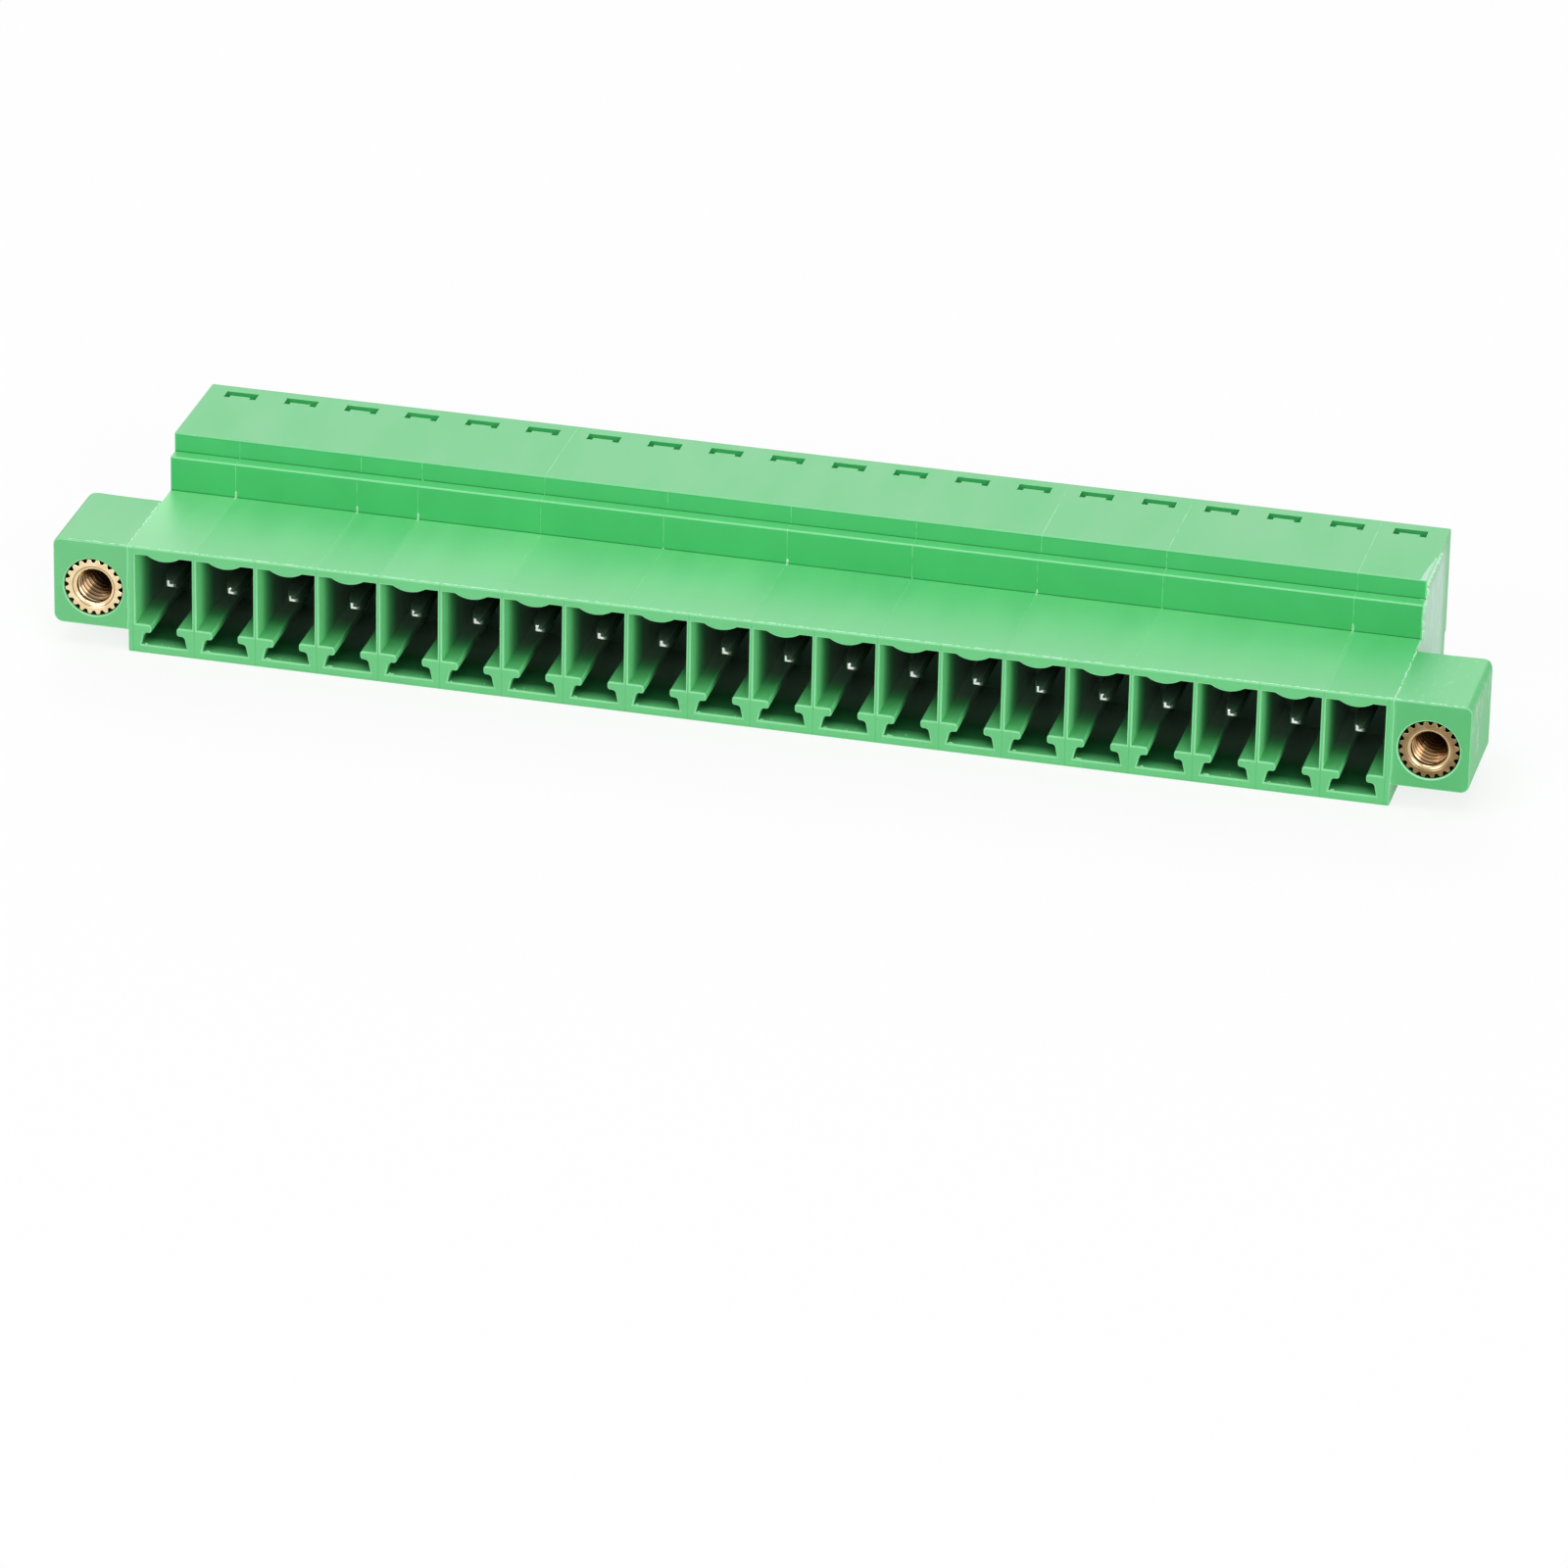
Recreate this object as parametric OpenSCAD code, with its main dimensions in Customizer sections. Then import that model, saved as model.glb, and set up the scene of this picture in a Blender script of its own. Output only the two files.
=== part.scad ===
// Pluggable terminal block, pin half: a shroud of square pins in front, a row of screw clamps behind it
// and a flange with a threaded insert at each end. Lengths are in millimetres. X runs along the row,
// +Y runs from the mating face to the wire side, and the block stands on its screw side.

/* [Row] */
// Number of poles
poles = 20; // [2:1:24]
// Distance from one pole to the next
pitch = 3.81; // [3.7:0.01:5.08]
// Moulding beyond the outer half of each end pole
end_margin = 0.32; // [0.2:0.02:0.8]

/* [Pin shroud] */
// Height of the shroud
shroud_h = 6.9; // [6.6:0.1:8]
// Depth of each cavity from the mating face
cavity_d = 8.2; // [6:0.1:9]
// Wall above the cavities
lip_t = 0.52; // [0.3:0.02:0.8]
// Wall under the key slots
floor_t = 0.55; // [0.4:0.05:0.8]
// Wall between neighbouring cavities
divider_t = 0.28; // [0.2:0.02:0.5]
// Height of the guide rails' upper faces
rail_h = 1.87; // [1.6:0.01:2.4]
// Thickness of the rails' overhanging lips
rail_lip_t = 0.54; // [0.4:0.01:0.65]
// Radius on the edges of those lips
rail_lip_r = 0.18; // [0.05:0.01:0.2]
// Width between the facing lips
neck_w = 1.56; // [1:0.02:1.7]
// Width of the key slot just under the lips
slot_top_w = 2.6; // [2.4:0.02:2.7]
// Radius in the upper corners of the key slot
slot_top_r = 0.24; // [0.05:0.01:0.28]
// Width of the key slot at its floor
slot_floor_w = 2.84; // [2.76:0.02:3.2]
// Width of the rounded rib that hangs from the lip of each cavity
lip_rib_w = 2; // [1:0.1:2.4]
// How far that rib hangs down
lip_rib_drop = 0.3; // [0.1:0.02:0.5]
// Length of the shroud's underside behind the cavities
shroud_tail = 1.5; // [0.8:0.1:2]

/* [Terminal body] */
// Web between the cavity floors and the clamp chambers
web_t = 2.1; // [1.6:0.1:3]
// Wall in front of the clamp chambers at the upper step
front_wall_t = 0.75; // [0.5:0.05:1]
// Depth of the ledge between the two steps
ledge_d = 0.9; // [0.4:0.05:1.4]
// Height of the upper step, from the ledge to the top
ledge_drop = 1.21; // [0.6:0.01:2]
// Wall above the clamp chambers
roof_t = 1; // [0.6:0.05:1.6]
// Length of the wire entries behind the clamp cages
entry_l = 1.85; // [1.7:0.05:3]
// Depth of the flare at the mouth of each wire entry
flare_d = 0.5; // [0.2:0.05:1]
// How far the flare opens on each side
flare_w = 0.2; // [0.05:0.01:0.25]
// Wall under the wire entries, above the recess of the back face
entry_sill = 0.35; // [0.3:0.05:0.8]
// Recess of the back face below the wire entries
back_recess = 0.35; // [0.1:0.05:0.8]
// Height of the terminal body's underside above the shroud's
underside_h = 1.2; // [0.6:0.05:1.6]

/* [Roof windows] */
// Width of the window over each wire entry
window_w = 2; // [1.4:0.1:2.6]
// Depth of each window
window_d = 0.88; // [0.5:0.01:0.9]
// Roof between the windows and the back edge
window_margin = 0.84; // [0.6:0.02:1.2]
// Width of the tongue that reaches into each window
tongue_w = 1.27; // [0.8:0.01:1.3]
// Length of that tongue
tongue_l = 0.28; // [0.1:0.01:0.4]

/* [Screw wells] */
// Radial clearance round each screw head
head_gap = 0.1; // [0.05:0.01:0.2]
// Wall of the collar round each well
collar_t = 0.65; // [0.4:0.05:0.9]
// Inward lip at the mouth of each well, which keeps the screw in
mouth_lip = 0.2; // [0.15:0.05:0.4]
// Length of that lip along the well
mouth_l = 0.35; // [0.2:0.05:0.6]
// Shelf between the well and the clamp chamber
shelf_t = 0.5; // [0.3:0.05:1]
// Thickness of the rib at each end of the row of collars
end_rib_t = 0.8; // [0.4:0.1:1.2]

/* [Flanges] */
// Width of each flange along the row
flange_w = 4.65; // [4.4:0.05:8]
// Depth of the flanges from the mating face
flange_d = 7; // [6.8:0.1:9]
// Height of the flanges' undersides
flange_z = 1.4; // [0.6:0.1:1.9]
// Radius on the outer lower edge of each flange
flange_edge_r = 0.55; // [0.1:0.05:0.8]
// Radius on the outer upper edge of each flange
flange_top_r = 0.45; // [0.1:0.05:0.8]
// Radius on the outer rear edge of each flange
flange_back_r = 0.75; // [0.1:0.05:1.5]

/* [Threaded inserts] */
// Distance from the end of the shroud to the insert's axis
insert_offset = 2.17; // [2.1:0.01:3]
// Height of the insert's axis
insert_z = 3.9; // [3.7:0.01:4.4]
// Diameter over the knurl
insert_d = 3.6; // [3.4:0.02:3.8]
// Length of each insert
insert_l = 5.8; // [4:0.1:6]
// Diameter of the thread, at its roots
thread_d = 2.5; // [2:0.1:2.6]
// Diameter of the countersink at each end of the thread
countersink_d = 2.72; // [2.7:0.02:3]
// Number of knurl teeth
knurl_teeth = 20; // [16:1:32]
// Height of the knurl teeth
knurl_h = 0.22; // [0.1:0.02:0.22]
// Length of the plain groove between the two knurled bands
knurl_groove_l = 1.2; // [0.6:0.1:2]
// How far each insert sits below the flange's face
insert_recess = 0.08; // [0.02:0.02:0.3]
// Radial clearance of the inserts in their holes
insert_gap = 0.03; // [0.02:0.01:0.08]
// Room in the hole behind each insert
insert_room = 0.3; // [0.1:0.05:0.6]

/* [Contacts] */
// Thickness and width of the square pins
pin_t = 0.8; // [0.6:0.05:1]
// How far the pin tips stand back from the mating face
pin_setback = 1.35; // [0.5:0.05:3]
// Height of the pin axes
pin_z = 4.12; // [3.6:0.02:4.4]
// Length of the taper at each pin tip
pin_taper_l = 0.5; // [0.2:0.05:1]
// Width of the blunt end of each tip
pin_tip_w = 0.4; // [0.2:0.05:0.5]
// Width of the clamping bar behind the pin
bar_w = 1.8; // [1.2:0.05:2]
// Inner radius of the two bends between pin and bar
bend_r = 0.25; // [0.1:0.05:0.3]
// Clearance round the pin in its web
pin_gap = 0.03; // [0.02:0.01:0.08]

/* [Clamp cages] */
// Gap for the wire when the clamp is open
wire_gap = 1.9; // [1.7:0.1:2.6]
// Travel of the cage from open to clamped
clamp_travel = 1.6; // [0.8:0.1:1.6]
// Clearance on each side of the clamping bar inside the cage
bar_gap = 0.1; // [0.05:0.01:0.2]
// Side wall of the cage
cage_side_t = 0.45; // [0.3:0.05:0.5]
// Length of the cage along the wire
cage_l = 3.8; // [3.2:0.1:5]
// Wall of the cage that carries the thread
cage_nut_t = 1.2; // [0.8:0.1:1.6]
// Wall of the cage that presses on the wire
cage_jaw_t = 0.8; // [0.5:0.05:1.2]
// Radius on the long outer edges of the cage
cage_r = 0.35; // [0.1:0.05:0.4]
// Number of gripping grooves across the jaw
jaw_grooves = 3; // [1:1:4]
// Depth of those grooves
jaw_groove_d = 0.15; // [0.05:0.05:0.25]
// Clearance of the cage along and across its chamber
cage_gap = 0.1; // [0.05:0.01:0.15]
// Clearance of the cage at both ends of its travel
stop_gap = 0.15; // [0.05:0.01:0.3]

/* [Clamp screws] */
// Thread diameter of the clamp screws
screw_d = 2; // [1.6:0.1:2.2]
// Diameter of the screw heads
head_d = 2.8; // [2.5:0.05:2.9]
// Height of the screw heads
head_h = 1.2; // [0.8:0.05:1.6]
// How far the heads lie inside the wells
head_recess = 0.75; // [0.7:0.05:1.5]
// Width of the driver slot
slot_w = 0.5; // [0.3:0.05:0.8]
// Depth of the driver slot
slot_d = 0.55; // [0.3:0.05:0.7]
// Chamfer on the head and at the screw's end
screw_chamfer = 0.15; // [0.05:0.05:0.3]
// Radial clearance in the cage's thread
thread_gap = 0.05; // [0.02:0.01:0.1]
// Radial clearance in the shelf
shank_gap = 0.15; // [0.05:0.05:0.3]
// Gap between the screw's end and the clamping bar
tip_gap = 0.05; // [0.02:0.01:0.1]

/* [Hidden] */
$fn = 48;
// Overrun of a cut past the face that it opens
cut = 0.5;

// Along the row
row_l = poles * pitch + 2 * end_margin;
row_x = row_l / 2;
cavity_w = pitch - divider_t;
cage_in_w = bar_w + 2 * bar_gap;
cage_w = cage_in_w + 2 * cage_side_t;
chamber_w = cage_w + 2 * cage_gap;
insert_x = row_x + insert_offset;

// Upwards from the rims of the screw wells, with the clamps open
well_d = head_d + 2 * head_gap;
collar_d = well_d + 2 * collar_t;
well_top = head_recess + head_h + head_gap;
chamber_z = well_top + shelf_t;
cage_z = chamber_z + stop_gap + clamp_travel;
bar_z = cage_z + cage_nut_t + stop_gap;
jaw_z = bar_z + pin_t + wire_gap;
cage_top = jaw_z + cage_jaw_t;
chamber_top = cage_top + stop_gap;
entry_z = cage_z - stop_gap;
body_h = chamber_top + roof_t;
ledge_z = body_h - ledge_drop;
lip_z = shroud_h - lip_t;
slot_top_z = rail_h - rail_lip_t;

// Backwards from the mating face
chamber_y = cavity_d + web_t;
bend_y = chamber_y + pin_gap;
riser_y = bend_y + bend_r;
bar_y = riser_y + pin_t + bend_r;
cage_y = bar_y + cage_gap;
cage_back = cage_y + cage_l;
screw_y = cage_y + cage_l / 2;
chamber_back = cage_back + cage_gap;
body_d = cage_back + entry_l;
step_y = chamber_y - front_wall_t;
shroud_d = step_y - ledge_d;
window_y = body_d - window_margin - window_d;
tail_y = cavity_d + shroud_tail;

plastic_green = "#4cc46c";
brass_gold = "#c99a55";
tin_silver = "#d9dcdd";
nickel_silver = "#b9bcbb";
zinc_silver = "#c6c9cc";

function two_digits(i) = str(i < 10 ? "0" : "", i);
function screw_node(i) = str("clamp_screw_", two_digits(i));
function cage_node(i) = str("clamp_cage_", two_digits(i));
function pole_x(i) = (i - (poles + 1) / 2) * pitch;

// Puts a shape measured from the mating face into the part's frame, whose origin is under the middle.
module from_face() {
    translate([0, -body_d / 2, 0]) children();
}

// Extrudes a Y-Z outline along X, centred on the plane X = 0.
module along_row(length) {
    rotate([90, 0, 90]) linear_extrude(length, center = true) children();
}

// Extrudes an X-Z outline back along Y from y to y + length.
module along_depth(y, length) {
    translate([0, y + length, 0]) rotate([90, 0, 0]) linear_extrude(length) children();
}

// What a radius takes off a square corner that lies at the origin and opens towards +X and +Y.
module corner_waste(r) {
    difference() {
        translate([-cut, -cut]) square(r + cut);
        translate([r, r]) circle(r);
    }
}

// Quarter ring between two radii, turned so that it starts at angle a.
module quarter_ring(r_in, r_out, a) {
    rotate(a) intersection() {
        difference() {
            circle(r_out);
            circle(r_in);
        }
        square(r_out);
    }
}

// Side outline of the moulded row: shroud, two steps, roof, back face and underside.
module row_outline() {
    polygon([
        [0, 0],
        [0, shroud_h],
        [shroud_d, shroud_h],
        [shroud_d, ledge_z],
        [step_y, ledge_z],
        [step_y, body_h],
        [body_d, body_h],
        [body_d, entry_z - flare_w - entry_sill],
        [body_d - back_recess, entry_z - flare_w - entry_sill],
        [body_d - back_recess, underside_h],
        [tail_y, underside_h],
        [tail_y, 0]
    ]);
}

// Flange at the right-hand end, from the end of the row outwards.
module flange() {
    outer_x = row_x + flange_w;
    inner_x = row_x - end_margin;
    intersection() {
        along_depth(0, flange_d) difference() {
            translate([inner_x, flange_z]) square([outer_x - inner_x, shroud_h - flange_z]);
            translate([outer_x, flange_z]) mirror([1, 0]) corner_waste(flange_edge_r);
            translate([outer_x, shroud_h]) rotate(180) corner_waste(flange_top_r);
        }
        linear_extrude(shroud_h) difference() {
            translate([inner_x, 0]) square([outer_x - inner_x, flange_d]);
            translate([outer_x, flange_d]) rotate(180) corner_waste(flange_back_r);
        }
    }
}

// Collars round the screw wells and the rib that closes their row at each end.
module collar_row() {
    for (i = [1:poles]) translate([pole_x(i), screw_y, 0]) cylinder(d = collar_d, h = underside_h + cut);
    for (side = [-1, 1]) translate([side * (row_x - end_rib_t / 2), screw_y, 0])
        translate([-end_rib_t / 2, -well_d / 2, 0])
            cube([end_rib_t, body_d - back_recess - screw_y + well_d / 2, underside_h + cut]);
}

// Half of the space under a rail lip, with the lip's two edges rounded.
module neck_half() {
    translate([0, slot_top_z]) square([neck_w / 2, rail_lip_t + cut]);
    translate([neck_w / 2, slot_top_z]) corner_waste(rail_lip_r);
    translate([neck_w / 2, rail_h]) mirror([0, 1]) corner_waste(rail_lip_r);
}

// Front outline of one cavity: a bay under a rounded rib, and a dovetail key slot between two rails.
module cavity_outline() {
    rib_r = (pow(lip_rib_w / 2, 2) + pow(lip_rib_drop, 2)) / (2 * lip_rib_drop);
    difference() {
        translate([-cavity_w / 2, rail_h]) square([cavity_w, lip_z - rail_h]);
        translate([0, lip_z - lip_rib_drop + rib_r]) circle(rib_r);
    }
    intersection() {
        union() {
            neck_half();
            mirror([1, 0]) neck_half();
        }
        translate([-slot_top_w / 2, floor_t]) square([slot_top_w, rail_h + rail_lip_t - floor_t]);
    }
    key_slot_outline();
}

// Front outline of the key slot, which widens downwards from its rounded upper corners.
module key_slot_outline() {
    half_top = slot_top_w / 2;
    half_floor = slot_floor_w / 2;
    difference() {
        polygon([
            [-half_floor, floor_t],
            [half_floor, floor_t],
            [half_top, slot_top_z - slot_top_r],
            [half_top, slot_top_z],
            [-half_top, slot_top_z],
            [-half_top, slot_top_z - slot_top_r]
        ]);
        translate([half_top, slot_top_z]) rotate(180) corner_waste(slot_top_r);
        translate([-half_top, slot_top_z]) mirror([0, 1]) corner_waste(slot_top_r);
    }
}

// Wire entry behind a cage, flared at its mouth in the back face.
module wire_entry() {
    y = chamber_back - cut;
    flare_y = body_d - flare_d;
    half_w = chamber_w / 2;
    intersection() {
        along_row(pitch) polygon([
            [y, entry_z],
            [flare_y, entry_z],
            [body_d, entry_z - flare_w],
            [body_d + cut, entry_z - flare_w],
            [body_d + cut, chamber_top + flare_w],
            [body_d, chamber_top + flare_w],
            [flare_y, chamber_top],
            [y, chamber_top]
        ]);
        linear_extrude(body_h) polygon([
            [-half_w, y],
            [half_w, y],
            [half_w, flare_y],
            [half_w + flare_w, body_d],
            [half_w + flare_w, body_d + cut],
            [-half_w - flare_w, body_d + cut],
            [-half_w - flare_w, body_d],
            [-half_w, flare_y]
        ]);
    }
}

// Window in the roof over a wire entry, with a tongue reaching into it from the front.
module roof_window() {
    translate([0, window_y, chamber_top - cut]) linear_extrude(roof_t + 2 * cut) difference() {
        translate([-window_w / 2, 0]) square([window_w, window_d]);
        translate([-tongue_w / 2, -cut]) square([tongue_w, tongue_l + cut]);
    }
}

// Stepped well for a screw: retaining mouth, room for the head and a hole through the shelf.
module screw_well() {
    mouth_r = well_d / 2 - mouth_lip;
    shank_r = screw_d / 2 + shank_gap;
    translate([0, screw_y, 0]) rotate_extrude() polygon([
        [0, -cut],
        [mouth_r, -cut],
        [mouth_r, mouth_l],
        [well_d / 2, mouth_l],
        [well_d / 2, well_top],
        [shank_r, well_top],
        [shank_r, chamber_z + cut],
        [0, chamber_z + cut]
    ]);
}

// Everything that is hollow in one pole of the moulding.
module pole_voids() {
    hole_t = pin_t + 2 * pin_gap;
    along_depth(-cut, cavity_d + cut) cavity_outline();
    translate([-hole_t / 2, cavity_d - cut, pin_z - hole_t / 2]) cube([hole_t, web_t + 2 * cut, hole_t]);
    translate([-chamber_w / 2, chamber_y, chamber_z])
        cube([chamber_w, chamber_back - chamber_y, chamber_top - chamber_z]);
    wire_entry();
    roof_window();
    screw_well();
}

// Blind hole for the insert in the right-hand flange.
module insert_hole() {
    translate([insert_x, -cut, insert_z]) rotate([-90, 0, 0])
        cylinder(d = insert_d + 2 * insert_gap, h = cut + insert_recess + insert_l + insert_room);
}

module housing() {
    color(plastic_green) from_face() difference() {
        union() {
            along_row(row_l) row_outline();
            flange();
            mirror([1, 0, 0]) flange();
            collar_row();
        }
        for (i = [1:poles]) translate([pole_x(i), 0, 0]) pole_voids();
        insert_hole();
        mirror([1, 0, 0]) insert_hole();
    }
}

// One contact: a square pin that is bent up twice and widens into the clamping bar.
module contact() {
    half_t = pin_t / 2;
    tip_half = pin_tip_w / 2;
    tip_y = pin_setback + pin_taper_l;
    pin_top = pin_z + half_t;
    bar_end = cage_back - cage_gap;
    intersection() {
        along_row(bar_w) {
            polygon([
                [pin_setback, pin_z - tip_half],
                [tip_y, pin_z - half_t],
                [bend_y, pin_z - half_t],
                [bend_y, pin_top],
                [tip_y, pin_top],
                [pin_setback, pin_z + tip_half]
            ]);
            translate([bend_y, pin_top + bend_r]) quarter_ring(bend_r, bend_r + pin_t, -90);
            translate([riser_y, pin_top + bend_r]) square([pin_t, bar_z - pin_top - 2 * bend_r]);
            translate([bar_y, bar_z - bend_r]) quarter_ring(bend_r, bend_r + pin_t, 90);
            translate([bar_y, bar_z]) square([bar_end - bar_y, pin_t]);
        }
        linear_extrude(body_h) polygon([
            [-tip_half, pin_setback],
            [tip_half, pin_setback],
            [half_t, tip_y],
            [half_t, bend_y],
            [bar_w / 2, bend_y],
            [bar_w / 2, bar_end],
            [-bar_w / 2, bar_end],
            [-bar_w / 2, bend_y],
            [-half_t, bend_y],
            [-half_t, tip_y]
        ]);
    }
}

module pin_contacts() {
    color(tin_silver) from_face() for (i = [1:poles]) translate([pole_x(i), 0, 0]) contact();
}

// Toothed outline of a knurled band, with flat-topped teeth.
module knurl_outline() {
    step = 360 / knurl_teeth;
    root_r = insert_d / 2 - knurl_h;
    polygon([
        for (tooth = [0:knurl_teeth - 1], corner = [0:3])
            let (
                r = corner == 0 || corner == 3 ? root_r : insert_d / 2,
                a = (tooth + [0.12, 0.32, 0.68, 0.88][corner]) * step
            )
            [r * cos(a), r * sin(a)]
    ]);
}

// Knurled insert with a countersunk thread, lying along +Y behind the flange's face.
module thread_insert() {
    thread_r = thread_d / 2;
    sink = countersink_d / 2 - thread_r;
    band_l = (insert_l - knurl_groove_l) / 2;
    rotate([-90, 0, 0]) difference() {
        union() {
            linear_extrude(band_l) knurl_outline();
            cylinder(r = insert_d / 2 - knurl_h, h = insert_l);
            translate([0, 0, insert_l - band_l]) linear_extrude(band_l) knurl_outline();
        }
        translate([0, 0, -cut]) cylinder(r = thread_r, h = insert_l + 2 * cut);
        translate([0, 0, -cut]) cylinder(r1 = thread_r + sink + cut, r2 = thread_r, h = sink + cut);
        translate([0, 0, insert_l - sink]) cylinder(r1 = thread_r, r2 = thread_r + sink + cut, h = sink + cut);
    }
}

module thread_insert_left() {
    color(brass_gold) from_face() translate([-insert_x, insert_recess, insert_z]) thread_insert();
}

module thread_insert_right() {
    color(brass_gold) from_face() translate([insert_x, insert_recess, insert_z]) thread_insert();
}

// Slotted clamp screw: its head lies in the well and its end stops just under the clamping bar.
module clamp_screw(i) {
    head_r = head_d / 2;
    shank_r = screw_d / 2;
    head_top = head_recess + head_h;
    tip_z = bar_z - tip_gap;
    color(zinc_silver) from_face() translate([pole_x(i), screw_y, 0]) difference() {
        rotate_extrude() polygon([
            [0, head_recess],
            [head_r - screw_chamfer, head_recess],
            [head_r, head_recess + screw_chamfer],
            [head_r, head_top],
            [shank_r, head_top],
            [shank_r, tip_z - screw_chamfer],
            [shank_r - screw_chamfer, tip_z],
            [0, tip_z]
        ]);
        translate([-slot_w / 2, -head_d, head_recess - cut]) cube([slot_w, 2 * head_d, slot_d + cut]);
    }
}

// Clamp cage: a box that runs round the clamping bar, with a thread below it and a grooved jaw above it.
module clamp_cage(i) {
    half_w = cage_w / 2;
    groove_step = cage_l / (jaw_grooves + 1);
    color(nickel_silver) from_face() translate([pole_x(i), 0, 0]) difference() {
        along_depth(cage_y, cage_l) difference() {
            translate([-half_w, cage_z]) square([cage_w, cage_top - cage_z]);
            translate([-cage_in_w / 2, bar_z - stop_gap]) square([cage_in_w, jaw_z - bar_z + stop_gap]);
            translate([-half_w, cage_z]) corner_waste(cage_r);
            translate([half_w, cage_z]) rotate(90) corner_waste(cage_r);
            translate([half_w, cage_top]) rotate(180) corner_waste(cage_r);
            translate([-half_w, cage_top]) rotate(270) corner_waste(cage_r);
        }
        translate([0, screw_y, cage_z - cut]) cylinder(d = screw_d + 2 * thread_gap, h = cage_nut_t + 2 * cut);
        for (g = [1:jaw_grooves]) translate([0, cage_y + g * groove_step, 0]) along_row(cage_in_w)
            polygon([
                [-jaw_groove_d, jaw_z],
                [-jaw_groove_d, jaw_z - cut],
                [jaw_groove_d, jaw_z - cut],
                [jaw_groove_d, jaw_z],
                [0, jaw_z + jaw_groove_d]
            ]);
    }
}

housing();
pin_contacts();
thread_insert_left();
thread_insert_right();
for (i = [1:poles]) clamp_screw(i);
for (i = [1:poles]) clamp_cage(i);
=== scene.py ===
"""Looks of the pin half of a pluggable terminal block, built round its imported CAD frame."""
import math
import random
from collections import namedtuple

import bmesh
import bpy
from mathutils import Matrix, Vector

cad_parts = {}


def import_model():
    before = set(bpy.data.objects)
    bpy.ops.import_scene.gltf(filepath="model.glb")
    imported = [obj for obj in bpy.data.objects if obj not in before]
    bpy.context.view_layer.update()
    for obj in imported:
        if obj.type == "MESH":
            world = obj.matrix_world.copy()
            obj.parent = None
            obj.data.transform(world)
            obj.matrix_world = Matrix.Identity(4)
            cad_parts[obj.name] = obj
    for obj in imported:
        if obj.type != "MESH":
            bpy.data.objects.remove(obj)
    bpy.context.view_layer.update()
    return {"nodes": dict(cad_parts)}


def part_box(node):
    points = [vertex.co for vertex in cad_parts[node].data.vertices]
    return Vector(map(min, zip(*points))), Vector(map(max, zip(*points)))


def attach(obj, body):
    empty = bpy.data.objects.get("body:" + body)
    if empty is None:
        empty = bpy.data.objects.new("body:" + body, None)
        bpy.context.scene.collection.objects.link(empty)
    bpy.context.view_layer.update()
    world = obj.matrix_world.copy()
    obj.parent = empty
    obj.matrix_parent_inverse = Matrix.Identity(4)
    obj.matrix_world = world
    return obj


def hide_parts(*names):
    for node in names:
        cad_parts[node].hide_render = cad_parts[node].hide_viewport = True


MM = 0.001
BLOCK = "block"

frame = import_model()
nodes = frame["nodes"]
screw_nodes = sorted(n for n in nodes if n.startswith("clamp_screw_"))
cage_nodes = sorted(n for n in nodes if n.startswith("clamp_cage_"))
insert_nodes = "thread_insert_left", "thread_insert_right"
draw = random.Random(381)


def middle(node):
    """Centre of a CAD node's box, in millimetres."""
    low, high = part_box(node)
    return (low + high) / 2 / MM


# Places on the moulding in millimetres; depths run back from the mating face
FACE_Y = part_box("housing")[0].y / MM
ROOF_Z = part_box("housing")[1].z / MM
POLES = len(screw_nodes)
PITCH = middle(screw_nodes[1]).x - middle(screw_nodes[0]).x
ROW_X = 38.42
SHROUD_H = 6.9
SHROUD_D = 8.65
CAVITY_D = 8.2
SLOT_FLOOR_Z = 0.55
SLOT_HALF_W = 1.42
STEP_D = 9.55
LEDGE_Z = 9.09
WINDOW_D = 15.4, 16.8
FLANGE_D = 7.0
FLANGE_ROUND_X = 42.3
FLANGE_ROUND_D = FLANGE_D - 1.0, FLANGE_D + 0.1
FLANGE_FLASH_L = 4.2

# Pins and inserts
PIN_Z = 4.12
PIN_BEND_D = 9.0
PIN_TIP_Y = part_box("pin_contacts")[0].y / MM
INSERT = middle("thread_insert_right")
HOLE_R = 1.83
MOUTH_R = 1.3

# Heads and shanks of the clamp screws
HEAD_H = 1.2
SHANK_R = 1.0
CORE_R = 0.8

# Radii of the rounded edges, and the share of the full radius on the crisp roof windows
EDGE_R = 0.09
PIN_EDGE_R = 0.05
INSERT_EDGE_R = 0.03
CLAMP_EDGE_R = 0.04
WINDOW_EDGE_SHARE = 0.35

# Edges that turn by more than this are sharp, on the skins and on the threads
SHARP = math.radians(35)
THREAD_SHARP = math.radians(40)
# Faces that turn by less than this become one
FLAT = math.radians(0.5)
# Corners nearer to each other than this become one
WELD = 0.0005
# Corners nearer to a cut than this lie on it
ON_CUT = 0.00002

# Pole boundaries that carry a raised mould line, counted from the left-hand end
MOULD_LINES = (1, 3, 4, 6, 8, 10, 12, 14, 16, 19)
# Those that also show on the roof
ROOF_LINES = (6, 14, 16, 19)
# How pale the shroud's top is between one mould line and the next
SEGMENT_PALENESS = (1.0, 0.7, 0.55, 0.9, 0.75, 0.75, 0.6, 0.55, 0.7, 0.7, 0.4)

ALONG_X, ALONG_Y, ALONG_Z = Vector((1, 0, 0)), Vector((0, 1, 0)), Vector((0, 0, 1))


def boundary_x(count):
    """X of the boundary after that many poles from the left."""
    return (count - POLES / 2) * PITCH


def rgb(red, green, blue):
    """A colour with full alpha."""
    return red, green, blue, 1.0


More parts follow.
